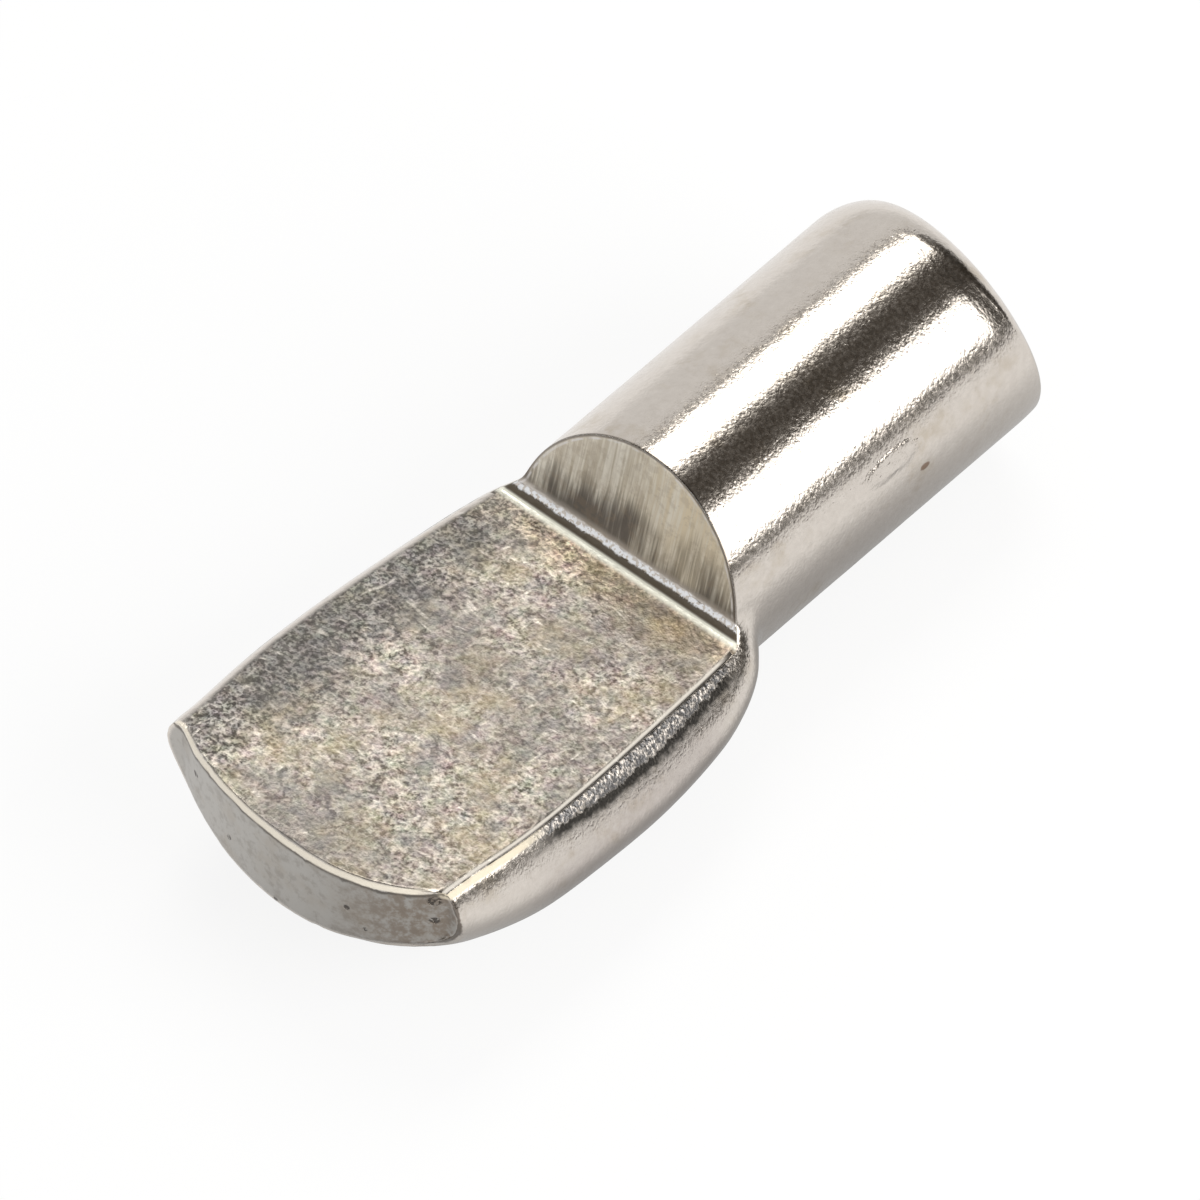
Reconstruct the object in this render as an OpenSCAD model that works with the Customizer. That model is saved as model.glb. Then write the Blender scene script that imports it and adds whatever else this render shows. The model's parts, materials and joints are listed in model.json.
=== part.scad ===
// Shelf support pin: a round steel pin whose other end is pressed into a spoon-like blade.
// The pin lies along +Y and goes into a drilled cabinet side. The blade points to -Y, and its
// flat faces up to carry the shelf. The origin is on the pin's axis where its full round
// starts, in the plane of the cabinet side.

/* [Pin] */
// Diameter of the round pin
pin_d = 5; // [4.8:0.1:5.2]
// Length of the pin along its axis, from the cabinet side to its free end
pin_len = 7.8; // [6.5:0.1:9]
// Length of the bevel on the edge of the free end
end_bevel = 0.45; // [0.35:0.05:0.7]
// Slant of the cropped free end, in degrees, leaning back at the top
end_slant = 11.5; // [6:0.5:14]
// Turn of that slant about the pin, in degrees towards +X
end_turn = 20; // [0:1:40]

/* [Blade] */
// Length of the blade from the shoulder to the middle of its tip
blade_len = 9; // [8.5:0.1:9.5]
// Width of the blade at its widest line, below the flat
blade_w = 7.4; // [7:0.1:8]
// Fullness of the rounded underside, where 2 is a true oval and less is leaner
fullness = 1.85; // [1.7:0.05:2.1]
// Radius of the arc that the tip is cut to
tip_r = 6; // [5.8:0.1:7]

/* [Shelf flat and shoulder] */
// Distance from the cabinet side back to the foot of the shoulder wall
setback = 0.85; // [0.8:0.05:1]
// Height of the flat above the pin's axis, at the shoulder
flat_h = 0.2; // [0:0.05:0.4]
// Rise of the flat towards the tip, in degrees
flat_rise = 4.5; // [4:0.1:6]
// Lean of the shoulder wall away from the blade, in degrees from upright
wall_lean = 15.5; // [10:0.5:20]
// Radius of the fillet between the flat and the wall
wall_fillet = 0.25; // [0.15:0.05:0.4]

/* [Hidden] */
$fn = 96;

pin_r = pin_d / 2;
// Half width of the blade at its widest station
half_w = blade_w / 2;
// How far the pin's root runs back inside the blade, and how much thinner it gets there
root_len = 1.9;
root_taper = 0.06;
// Radius where the free end's face turns into its bevel
lip_r = 1;
// How far the fillet is sunk below the flat and the wall, so that it meets both at a clean line
fillet_relief = 0.004;
// Rings between two stations, and points round each ring
rings_per_step = 4;
ring_points = 40;

// Stations from the flare's start to just past the tip. Each one is an oval across the blade:
// distance back from the shoulder, half width, height of its widest line, then how far it
// reaches below that line and above it.
flare = [
    [-1.35, pin_r - 0.15, 0, pin_r - 0.15, pin_r - 0.15],
    [-0.7, 0.68 * half_w, -0.19, 0.86 * pin_r, 0.78 * pin_r],
    [0, 0.83 * half_w, -0.42, 0.82 * pin_r, 0.6 * pin_r]
];
body = [
    [0.08, 0.903, -0.57, 0.8, 0.684],
    [0.17, 0.946, -0.69, 0.78, 0.796],
    [0.33, 0.986, -0.69, 0.81, 0.876],
    [0.5, 1, -0.56, 0.86, 0.916],
    [0.67, 0.984, -0.41, 0.86, 0.932],
    [0.83, 0.93, -0.1, 0.75, 0.8],
    [0.93, 0.878, 0.32, 0.68, 0.624],
    [1.03, 0.786, 0.67, 0.6, 0.48]
];
stations = concat(flare, [
    for (s = body) [s[0] * blade_len, s[1] * half_w, s[2], s[3] * pin_r, s[4] * pin_r]
]);

// Point at share u of the way from b to c, on the smooth curve through a, b, c and d
function through(a, b, c, d, u) =
    b + u * ((c - a) / 2
    + u * ((2 * a - 5 * b + 4 * c - d) / 2
    + u * (3 * b - 3 * c + d - a) / 2));

// Station i, with the first and last ones carried on in a straight line
function station(i) =
    i < 0 ? 2 * stations[0] - stations[1] :
    i >= len(stations) ? 2 * stations[i - 1] - stations[i - 2] :
    stations[i];

// The five values of the blade's oval at ring k
function ring_values(k) =
    let (i = min(floor(k / rings_per_step), len(stations) - 2))
    through(station(i - 1), station(i), station(i + 1), station(i + 2),
            k / rings_per_step - i);

// A cosine or sine raised so that it draws a leaner or fuller oval
function lean_oval(v) = sign(v) * pow(abs(v), 2 / fullness);

// The ring of points that one set of oval values stands for
function ring(v) = [
    for (j = [0 : ring_points - 1])
    let (a = 360 * (j + 0.5) / ring_points)
    [v[1] * lean_oval(cos(a)), -v[0], v[2] + v[a < 180 ? 4 : 3] * lean_oval(sin(a))]
];

// Half section of the free end, face down: a rounded lip that runs into a 45 degree bevel
module end_profile() {
    reach = pin_len + root_len + pin_d;
    middle = [pin_r - end_bevel - lip_r * (cos(45) - (1 - sin(45))), lip_r];
    leave = middle + lip_r * [cos(45), -sin(45)];
    union() {
        polygon([[0, 0], [middle[0], 0], leave, leave + [reach, reach], [0, leave[1] + reach]]);
        translate(middle) circle(lip_r);
    }
}

// Round bar with a root that tapers into the blade. Its free end is cropped at a slant,
// with its edge taken off.
module round_pin() {
    intersection() {
        rotate([-90, 0, 0])
            union() {
                cylinder(h = pin_len + pin_d, r = pin_r);
                mirror([0, 0, 1]) cylinder(h = root_len, r1 = pin_r, r2 = pin_r - root_taper);
            }
        translate([0, pin_len, 0])
            rotate([end_slant - 90, end_turn, 0])
            mirror([0, 0, 1])
            rotate_extrude()
            end_profile();
    }
}

// Loft through all the stations, before anything is cut from it
module blade_loft() {
    ring_count = rings_per_step * (len(stations) - 1) + 1;
    rings = [for (k = [0 : ring_count - 1]) ring(ring_values(k))];
    sides = [
        for (k = [0 : ring_count - 2], j = [0 : ring_points - 1])
        let (a = k * ring_points + j, b = k * ring_points + (j + 1) % ring_points)
        each [[a, b + ring_points, b], [a, a + ring_points, b + ring_points]]
    ];
    end = (ring_count - 1) * ring_points;
    caps = [
        for (j = [1 : ring_points - 2])
        each [[0, j, j + 1], [end, end + j + 1, end + j]]
    ];
    polyhedron([for (r = rings) each r], concat(sides, caps));
}

// Blade with its tip cut to an arc
module blade() {
    intersection() {
        blade_loft();
        translate([0, tip_r - blade_len, -blade_w])
            cylinder(h = 2 * blade_w, r = tip_r);
        translate([-blade_w, -2 * blade_len, -blade_w])
            cube([2 * blade_w, 3 * blade_len, 2 * blade_w]);
    }
}

// Everything above the flat and behind the wall, seen from the side with the pin to the right
module notch_profile() {
    reach = 2 * blade_len;
    wall_angle = 90 - wall_lean;
    flat_angle = 180 - flat_rise;
    half_angle = (flat_angle - wall_angle) / 2;
    corner = [0, flat_h];
    wall_way = [cos(wall_angle), sin(wall_angle)];
    flat_way = [cos(flat_angle), sin(flat_angle)];
    middle_way = [cos(wall_angle + half_angle), sin(wall_angle + half_angle)];
    middle = corner + wall_fillet / sin(half_angle) * middle_way;
    touch = wall_fillet / tan(half_angle);
    union() {
        polygon([corner + touch * wall_way, corner + reach * wall_way,
                 corner + reach * middle_way, corner + reach * flat_way,
                 corner + touch * flat_way]);
        translate(middle) circle(wall_fillet + fillet_relief);
    }
}

// Blade and round pin in one piece, with the flat and the shoulder wall cut
module support_pin() {
    color([0.72, 0.7, 0.67])
    difference() {
        union() {
            round_pin();
            translate([0, -setback, 0]) blade();
        }
        translate([0, -setback, 0])
            rotate([90, 0, 90])
            linear_extrude(height = 2 * blade_w, center = true)
            notch_profile();
    }
}

support_pin();
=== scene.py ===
"""Shelf support pin: finished surface, materials, studio light and camera.

The part is one piece of plated steel: a round pin and a pressed, spoon-like blade.
Lengths inside the script are millimetres and become metres when a mesh is made.
"""
import json
from functools import reduce
from math import atan2, cos, pi, radians, sin, tan

import bpy
import numpy as np
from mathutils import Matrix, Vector
from mathutils.kdtree import KDTree


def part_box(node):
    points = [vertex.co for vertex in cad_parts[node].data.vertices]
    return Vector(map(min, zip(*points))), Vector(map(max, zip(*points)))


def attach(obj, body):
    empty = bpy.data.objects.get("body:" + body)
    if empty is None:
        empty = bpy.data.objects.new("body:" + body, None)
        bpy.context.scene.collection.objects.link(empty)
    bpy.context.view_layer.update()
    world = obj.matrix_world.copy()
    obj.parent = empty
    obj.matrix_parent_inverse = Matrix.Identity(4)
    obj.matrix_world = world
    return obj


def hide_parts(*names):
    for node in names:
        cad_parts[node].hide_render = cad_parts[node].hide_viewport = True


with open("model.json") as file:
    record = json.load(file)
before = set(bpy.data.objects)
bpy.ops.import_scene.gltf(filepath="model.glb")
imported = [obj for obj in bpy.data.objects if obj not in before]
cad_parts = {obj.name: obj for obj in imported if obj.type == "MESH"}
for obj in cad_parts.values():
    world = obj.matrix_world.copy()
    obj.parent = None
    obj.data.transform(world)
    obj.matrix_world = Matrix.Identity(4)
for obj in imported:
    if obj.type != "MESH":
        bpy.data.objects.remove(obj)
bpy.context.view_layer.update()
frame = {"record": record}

MM = 0.001

# -------- sizes from the frame

mounts = {m["name"]: m for m in frame["record"]["mounts"]}
PIN_R = mounts["pin"]["dims"]["r_mm"]
REST_POINT = np.array(mounts["shelf_rest"]["pos_m"]) / MM
REST_NORMAL = np.array(mounts["shelf_rest"]["axis"])
BOX_LOW, BOX_HIGH = (np.array(corner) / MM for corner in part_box("support_pin"))

# the shoulder's foot stands this far behind the cabinet side
SETBACK = 0.85
BLADE_LEN = -BOX_LOW[1] - SETBACK
RISE = atan2(REST_NORMAL[1], REST_NORMAL[2])
FLAT_H = REST_POINT[2] + (REST_POINT[1] + SETBACK) * tan(RISE)
WALL_LEAN = radians(15.5)

# -------- sizes of the finished form

# fillet at the foot of the shoulder's wall
FOOT_FILLET = 0.45

# worn bevel along the tip's upper edge: its width, and how steep it is
TIP_WEAR, TIP_WEAR_SLOPE = 0.06, 1.15

# free end: where its middle lies, how it slants, and its rounding across and along the pin,
# which changes round the pin because the shears rolled one side over more than the other
END_SLANT = radians(7.3)
END_TURN = radians(35)
END_MIDDLE = 7.65
END_ROUND = (0.77, 0.64)
END_ROUND_CHANGE = (-0.13, 0.49)
END_ROLLED = radians(-60)

# on its upper right the pin draws in by a little, over a short length before its rounding
DRAWN_IN, DRAWN_LENGTH, DRAWN_TURN = 0.042, 0.45, radians(60)

# Stations of the blade, from the start of its flare to just past its tip: distance back,
# half width, height of the widest line, reach below that line, half width up at the flat,
# and how full the section is above its widest line. Below that line it is equally full.
FULLNESS = 1.85
STATIONS = np.array([
    [-1.35, 2.36, -0.01, 2.35, 2.353, 1.85],
    [-0.70, 2.50, -0.19, 2.14, 2.447, 1.75],
    [0.00, 3.05, -0.39, 1.99, 2.735, 1.60],
    [0.72, 3.34, -0.57, 1.97, 2.840, 1.50],
    [1.53, 3.50, -0.69, 1.93, 2.920, 1.48],
    [2.97, 3.65, -0.69, 2.00, 3.030, 1.47],
    [4.50, 3.69, -0.56, 2.13, 3.120, 1.48],
    [6.03, 3.64, -0.41, 2.17, 3.140, 1.53],
    [7.47, 3.44, -0.10, 1.87, 3.035, 1.70],
    [8.37, 3.25, 0.32, 1.70, 2.990, 1.85],
    [9.27, 2.91, 0.67, 1.50, 2.780, 1.85],
])

# sideways lean of the oval's upper half, from a blank that sat off centre in the press
BLANK_LEAN = -0.09

# most that the oval reaches above its widest line at the foot, and behind it
FOOT_REACH = 1.9

# the round bar thins out under the blade from here on, and the two blend over a length
BAR_END, BAR_THINNING, BAR_BLEND = 0.15, 1.4, 0.16

# outline of the cropped tip: its middle line, its ends, its power and how far it sags
TIP_MIDDLE, TIP_ENDS, TIP_POWER = 0.5, (-2.9, 3.03), 2.4
TIP_SAG_LEFT, TIP_SAG_RIGHT = 0.041, 0.107
# the last stretch of the blade, over which its rows take up the tip's outline
TIP_STRETCH = 4.2

# -------- form of the piece


def smooth_table(rows, steps=80):
    """Dense rows on the smooth curve through the given rows."""
    ends = np.vstack([2 * rows[0] - rows[1], rows, 2 * rows[-1] - rows[-2]])
    u = np.linspace(0, 1, steps, endpoint=False)[:, None]
    out = []
    for i in range(len(rows) - 1):
        a, b, c, d = ends[i:i + 4]
        out.append(b + u * ((c - a) / 2 + u * ((2 * a - 5 * b + 4 * c - d) / 2
                   + u * (3 * b - 3 * c + d - a) / 2)))
    out.append(rows[-1:])
    return np.vstack(out)


TABLE = smooth_table(STATIONS)


def smoothstep(a, b, v):
    """Share from 0 at a to 1 at b, smooth at both."""
    u = np.clip((v - a) / (b - a), 0, 1)
    return u * u * (3 - 2 * u)


def oval_at(back):
    """Half width, widest line's height, reach below it, reach above it, upper fullness."""
    half_w, widest, below, at_flat, full = [
        np.interp(back, TABLE[:, 0], TABLE[:, i]) for i in (1, 2, 3, 4, 5)]
    share = (1 - (at_flat / half_w) ** full) ** (1 / full)
    rise = FLAT_H + tan(RISE) * np.clip(back, STATIONS[0, 0], None) - widest
    above = np.minimum(rise / share, FOOT_REACH + np.clip(back, 0, None))
    return half_w, widest, below, above, full


def lean_at(back):
    """Sideways lean of the oval's upper half, which fades out at both ends of the blade."""
    return BLANK_LEAN * smoothstep(-0.8, 0.5, back) * (1 - smoothstep(3.5, 7.5, back))


def smooth_max(a, b, blend):
    """The larger of a and b, with the line where they meet blended over."""
    h = np.clip(0.5 + 0.5 * (a - b) / blend, 0, 1)
    return b + (a - b) * h + blend * h * (1 - h)


# a search for a surface halves its range this often, from the axis to well outside
HALVINGS = 34
FAR_OUT = 7


def blade_reach(turn, back):
    """Distance from the pin's axis to the blade's oval, at a turn from straight up."""
    half_w, widest, below, above, full = oval_at(back)
    lean = lean_at(back)
    low = np.zeros(np.broadcast(turn, back).shape)
    high = low + FAR_OUT
    for _ in range(HALVINGS):
        mid = (low + high) / 2
        z = mid * np.cos(turn) - widest
        reach, power = np.where(z > 0, above, below), np.where(z > 0, full, FULLNESS)
        x = mid * np.sin(turn) - lean * np.clip(z, 0, None) / above
        inside = np.abs(x / half_w) ** power + np.abs(z / reach) ** power < 1
        low = np.where(inside, mid, low)
        high = np.where(inside, high, mid)
    return (low + high) / 2


def outer_reach(turn, back):
    """Distance from the axis to the outside: round pin and blade blended at the flare."""
    bar = PIN_R - BAR_THINNING * np.clip(back - BAR_END, 0, None) ** 2
    return smooth_max(bar, blade_reach(turn, back), BAR_BLEND)


def tip_sag(x):
    """How far back the cropped tip's outline falls, which is more on its right."""
    x = np.clip(x, *TIP_ENDS) - TIP_MIDDLE
    return np.where(x > 0, TIP_SAG_RIGHT, TIP_SAG_LEFT) * np.abs(x) ** TIP_POWER


# the fillet between the flat and the wall: where it touches them, and where its middle lies
CORNER_HALF = (pi - RISE - (pi / 2 - WALL_LEAN)) / 2
CORNER_WAY = pi / 2 - WALL_LEAN + CORNER_HALF
FOOT_TOUCH = FOOT_FILLET / tan(CORNER_HALF)
FOOT_AWAY = FOOT_FILLET / sin(CORNER_HALF)
FOOT_MIDDLE = (FOOT_AWAY * cos(CORNER_WAY), FLAT_H + FOOT_AWAY * sin(CORNER_WAY))


def top_height(y):
    """Height of the flat and the fillet behind it, y measured from the shoulder's foot."""
    flat = FLAT_H - np.tan(RISE) * y
    reach = np.clip(y - FOOT_MIDDLE[0], -FOOT_FILLET, FOOT_FILLET)
    arc = FOOT_MIDDLE[1] - np.sqrt(FOOT_FILLET ** 2 - reach ** 2)
    return np.where(y < -FOOT_TOUCH * cos(RISE), flat, arc)


def end_plane(x, z):
    """Where the cropped free end's face lies, measured from the shoulder's foot."""
    lean = tan(END_SLANT)
    return SETBACK + END_MIDDLE - lean * (z * cos(END_TURN) + x * sin(END_TURN))


# -------- rows of points

# faces across the flat and round the underside, and rows round the free end and on its face
ACROSS, UNDER = 150, 96
LIP_ROWS, FACE_ROWS = 24, 18
# rounds in which a point's place settles on a form that itself depends on the place
SETTLING, ARC_SETTLING = 14, 40


def closer_to_ends(n, pull):
    """n + 1 shares from 0 to 1, drawn towards both ends."""
    u = np.linspace(0, 1, n + 1)
    return u + pull * np.sin(2 * pi * u) / (-2 * pi)


TOP_SHARE = closer_to_ends(ACROSS, 0.55)
LOW_SHARE = closer_to_ends(UNDER, 0.72)


def spread(knots):
    """Row positions through (position, spacing) knots, with the spacing changing smoothly."""
    place, gap = np.array(knots).T
    rows = [place[0]]
    while rows[-1] < place[-1]:
        rows.append(rows[-1] + np.interp(rows[-1], place, gap))
    rows = np.array(rows)
    return place[0] + (rows - rows[0]) * (place[-1] - place[0]) / (rows[-1] - rows[0])


def blade_corner(side, back, share):
    """Corner between the flat and the outside, on one side: its X, and its turn."""
    y = -back.copy()
    for _ in range(SETTLING):
        z = top_height(y)
        half_w, widest, _below, above, full = oval_at(-y)
        rise = (z - widest) / above
        x = side * half_w * (1 - rise ** full) ** (1 / full) + lean_at(-y) * rise
        y = -back + share * tip_sag(x)
    return x, np.arctan2(x, top_height(y))


def worn_drop(x, y):
    """How far the tip's upper edge is worn down, over a bevel of uneven width."""
    width = TIP_WEAR * (1 + 0.3 * np.sin(2.1 * x + 1) + 0.15 * np.sin(7.3 * x))
    gap = y + BLADE_LEN - tip_sag(x)
    return (np.clip(width - gap, 0, None) * TIP_WEAR_SLOPE
            * (1 - smoothstep(2.2, 2.9, np.abs(x))))


def blade_rows():
    """Rows of the blade from tip to foot: top points, lower points, turns of the last corners."""
    back = spread([(0, 0.022), (0.45, 0.035), (1.2, 0.072), (7.6, 0.072), (8.5, 0.045),
                   (8.8, 0.022), (BLADE_LEN, 0.018)])[::-1][:, None]
    share = smoothstep(BLADE_LEN - TIP_STRETCH, BLADE_LEN, back)
    left_x, left_turn = blade_corner(-1, back, share)
    right_x, right_turn = blade_corner(1, back, share)
    top_x = left_x + (right_x - left_x) * TOP_SHARE
    top_y = -back + share * tip_sag(top_x)
    top = np.stack([top_x, top_y, top_height(top_y) - worn_drop(top_x, top_y)], -1)
    turn = left_turn + (right_turn - left_turn - 2 * pi) * LOW_SHARE
    y = -back + 0 * turn
    for _ in range(SETTLING):
        reach = outer_reach(turn, -y)
        x = reach * np.sin(turn)
        y = -back + share * tip_sag(x)
    low = np.stack([x, y, reach * np.cos(turn)], -1)
    low[:, 0], low[:, -1] = top[:, 0], top[:, -1]
    return top, low, (left_turn[-1, 0], right_turn[-1, 0])


def arc_line(turn):
    """Y of the first pin ring: the arc where the leaning wall ends, then the lower half."""
    y = np.zeros_like(turn)
    for _ in range(ARC_SETTLING):
        z = outer_reach(turn, -y) * np.cos(turn)
        want = np.clip((z - FLAT_H) * tan(WALL_LEAN), 0, None)
        want[ACROSS + 1:] = 0
        y = y * 0.4 + want * 0.6
    y[0] = y[ACROSS] = 0
    return y


def pin_rows(corner_turns):
    """Rings of the round pin, of its rounded edge and of its free end's face."""
    left, right = corner_turns
    top_turn = left + (right - left) * TOP_SHARE
    low_turn = left + (right - left - 2 * pi) * LOW_SHARE
    turn = np.concatenate([top_turn, low_turn[::-1][1:-1]])

    def ring(reach, y):
        return np.stack([reach * np.sin(turn), y, reach * np.cos(turn)], -1)

    radial, axial = [size + change * np.cos(turn - END_ROLLED)
                     for size, change in zip(END_ROUND, END_ROUND_CHANGE)]
    rim = end_plane(PIN_R * np.sin(turn), PIN_R * np.cos(turn))
    start, stop = arc_line(turn), rim - axial
    share = spread([(0, 0.012), (0.35, 0.03), (1.8, 0.08), (5.9, 0.085), (7.0, 0.05),
                    (7.6, 0.03)])
    y = start + (share / share[-1])[:, None] * (stop - start)
    drawn_in = DRAWN_IN * np.clip(np.cos(turn - DRAWN_TURN), 0, 1)
    drawn = np.clip((y - stop) / DRAWN_LENGTH + 1, 0, 1)
    body = ring(outer_reach(turn + 0 * y, -y) - drawn_in * drawn ** 2, y)
    bend = np.linspace(0, pi / 2, LIP_ROWS)[1:, None]
    end_r = PIN_R - drawn_in
    lip = ring(end_r - radial + radial * np.cos(bend), rim - axial * (1 - np.sin(bend)))
    inward = np.linspace(1, 0, FACE_ROWS)[1:-1, None]
    middle = end_plane(0, 0)
    face = ring((end_r - radial) * inward, middle + (rim - middle) * inward)
    return body, lip, face


def wall_rows(foot, arc):
    """Rows of the shoulder's wall, from the row through the fillet up to the arc."""
    touch = FLAT_H + FOOT_TOUCH * cos(WALL_LEAN)
    up = np.concatenate([np.linspace(0, 0.18, 9)[1:],
                         spread([(0.18, 0.02), (0.9, 0.02), (1.0, 0.008)])[1:-1]])
    rows = []
    for v in up:
        p = foot + (arc - foot) * v
        z = p[:, 2]
        on_wall = (z - FLAT_H) * tan(WALL_LEAN)
        dz = np.clip(FOOT_MIDDLE[1] - z, 0, FOOT_FILLET)
        on_arc = FOOT_MIDDLE[0] + np.sqrt(FOOT_FILLET ** 2 - dz ** 2)
        p[:, 1] = np.where(z < touch, on_arc, on_wall)
        rows.append(p)
    return rows


# -------- mesh of the piece

class Builder:
    """Collects points, and faces over rows of their numbers."""

    def __init__(self):
        self.points, self.faces, self.count = [], [], 0

    def add(self, grid):
        """Numbers of the points added, in the shape of their grid."""
        grid = np.asarray(grid, float)
        ids = np.arange(self.count, self.count + grid[..., 0].size).reshape(grid.shape[:-1])
        self.points.append(grid.reshape(-1, 3))
        self.count += ids.size
        return ids

    def add_between(self, row, ends):
        """Numbers of a row of points whose first and last points are there already."""
        return np.concatenate([ends[:1], self.add(row[1:-1]), ends[-1:]])

    def skin(self, ids):
        """Faces over a grid of point numbers. Corners that fall together make triangles."""
        a, b, c, d = ids[:-1, :-1], ids[:-1, 1:], ids[1:, 1:], ids[1:, :-1]
        for quad in np.stack([a, b, c, d], -1).reshape(-1, 4):
            face = list(dict.fromkeys(int(i) for i in quad))
            if len(face) > 2:
                self.faces.append(face)

    def stitch(self, low, low_share, high, high_share):
        """Triangles between two rows of point numbers that share their two end points."""
        i = j = 0
        while i < len(low) - 1 or j < len(high) - 1:
            next_low = low_share[i + 1] if i < len(low) - 1 else 2
            next_high = high_share[j + 1] if j < len(high) - 1 else 2
            if next_low < next_high:
                face = [low[i], low[i + 1], high[j]]
                i += 1
            else:
                face = [low[i], high[j + 1], high[j]]
                j += 1
            if len(set(map(int, face))) == 3:
                self.faces.append([int(k) for k in face])


def closed(rings):
    """Rings of point numbers, each ending with its first number again."""
    return np.hstack([rings, rings[:, :1]])


def skin_outside(build):
    """Blade, pin and free end: the blade's rings of point numbers, the arc's, the pin's."""
    top, low, corner_turns = blade_rows()
    body, lip, face = pin_rows(corner_turns)
    # one ring of point numbers per row: left corner, over the top, right corner, underneath
    rings = build.add(np.concatenate([top, low[:, ::-1][:, 1:-1]], 1))
    foot = rings[-1]
    under = foot[ACROSS + 1:]
    body[0, ACROSS + 1:] = np.vstack(build.points)[under]
    arc = build.add_between(body[0, :ACROSS + 1], foot[:ACROSS + 1])
    pin = build.add(np.concatenate([body[1:], lip, face]))
    build.skin(closed(rings))
    build.skin(closed(np.vstack([np.concatenate([arc, under]), pin])))
    pole = build.add(np.array([[[0, float(end_plane(0, 0)), 0]]]))[0, 0]
    last = np.append(pin[-1], pin[-1][0])
    for a, b in zip(last[:-1], last[1:]):
        build.faces.append([int(a), int(b), int(pole)])
    return rings, arc, pin


def skin_wall(build, foot, arc):
    """The shoulder's wall, closed to a point at its two corners: its rows of numbers."""
    points = np.vstack(build.points)
    rows = [foot]
    for row in wall_rows(points[foot], points[arc]):
        rows.append(build.add_between(row, foot))
    rows.append(arc)
    build.skin(np.array(rows))
    return np.array(rows)


def skin_tip(build, ring):
    """The tip's face, on the arc that the tip is cut to: its rows, and its lower edge."""
    points = np.vstack(build.points)
    high = ring[:ACROSS + 1]
    low = np.concatenate([high[:1], ring[ACROSS + 1:][::-1], high[-1:]])
    high_p = points[high]
    low_p = np.stack([np.interp(TOP_SHARE, LOW_SHARE, line) for line in points[low].T], -1)
    rows = []
    for v in spread([(0, 0.012), (0.12, 0.035), (0.88, 0.035), (1, 0.012)])[1:-1]:
        p = low_p + (high_p - low_p) * v
        p[:, 1] = -BLADE_LEN + tip_sag(p[:, 0])
        rows.append(build.add_between(p, high))
    rows.append(high)
    build.stitch(low, LOW_SHARE, rows[0], TOP_SHARE)
    build.skin(np.array(rows))
    return np.array(rows), low


def near(points, line):
    """Distance from each point to the nearest point of a line of points."""
    tree = KDTree(len(line))
    for i, p in enumerate(line):
        tree.insert(p, i)
    tree.balance()
    return np.array([tree.find(p)[2] for p in points])


def dense(line, steps=4):
    """The line with extra points between its own."""
    u = np.linspace(0, 1, steps, endpoint=False)[:, None, None]
    return np.concatenate([(line[:-1] + (line[1:] - line[:-1]) * u).reshape(-1, 3), line[-1:]])


def edge_gaps(points, rings, arc, tip_low):
    """Distances to the blade's two sides, the wall's arc and the tip's two edges."""
    sides = [dense(points[rings[:, 0]]), dense(points[rings[:, ACROSS]])]
    tip_top = rings[0][:ACROSS + 1]
    return {"side": near(points, np.vstack(sides)), "arc": near(points, dense(points[arc])),
            "tip_top": near(points, dense(points[tip_top])),
            "tip_low": near(points, dense(points[tip_low]))}


def softness(points, gap):
    """How freely each point moves when the edges are softened, from 0 to 1."""
    tip_low_reach = 0.3 - 0.20 * smoothstep(0.8, 2.6, points[:, 0])
    weight = np.maximum.reduce([1 - gap["side"] / 0.22, 0.15 - gap["arc"] / 0.6,
                                0.5 - gap["tip_top"] / 0.2, 1 - gap["tip_low"] / tip_low_reach])
    return np.clip(weight * 1.5, 0, 1)


def relax(points, faces, weight, rounds):
    """Softens sharp edges: each point moves towards its neighbours by its weight."""
    beside = {}
    for face in faces:
        for a, b in zip(face, face[1:] + face[:1]):
            beside.setdefault(a, set()).add(b)
            beside.setdefault(b, set()).add(a)
    band = np.flatnonzero(weight > 0)
    most = max(len(beside[int(i)]) for i in band)
    table = np.array([(sorted(beside[int(i)]) * most)[:most] for i in band])
    for _ in range(rounds):
        middle = points[table].mean(1)
        points[band] += weight[band, None] * 0.5 * (middle - points[band])
    return points


def kind_marks(count, rings, wall, tip, pin):
    """Values of 1 on the wall, the flat, the tip's face and the pin, and 0.5 on some edges."""
    members = {"wall": ((wall[1:-1, 1:-1], 1), (wall[-1], 0.5)),
               "flat": ((rings[:, 1:ACROSS], 1), (rings[:, [0, ACROSS]], 0.5)),
               "tip": ((tip[:-1, 1:-1], 1),), "pin": ((pin, 1),)}
    marks = {}
    for name, groups in members.items():
        marks[name] = np.zeros(count)
        for ids, value in groups:
            marks[name][ids] = value
    return marks


def fillet_bend(points, on_top):
    """How far the fillet has turned from the flat towards the wall, in degrees."""
    past = points[:, 1] + SETBACK - FOOT_MIDDLE[0]
    bend = np.degrees(np.arctan2(past, FOOT_MIDDLE[1] - points[:, 2]))
    return np.where(on_top & (past > -0.06), np.clip(bend, 0, 75), 0)


SOFTENING_ROUNDS = 50


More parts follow.
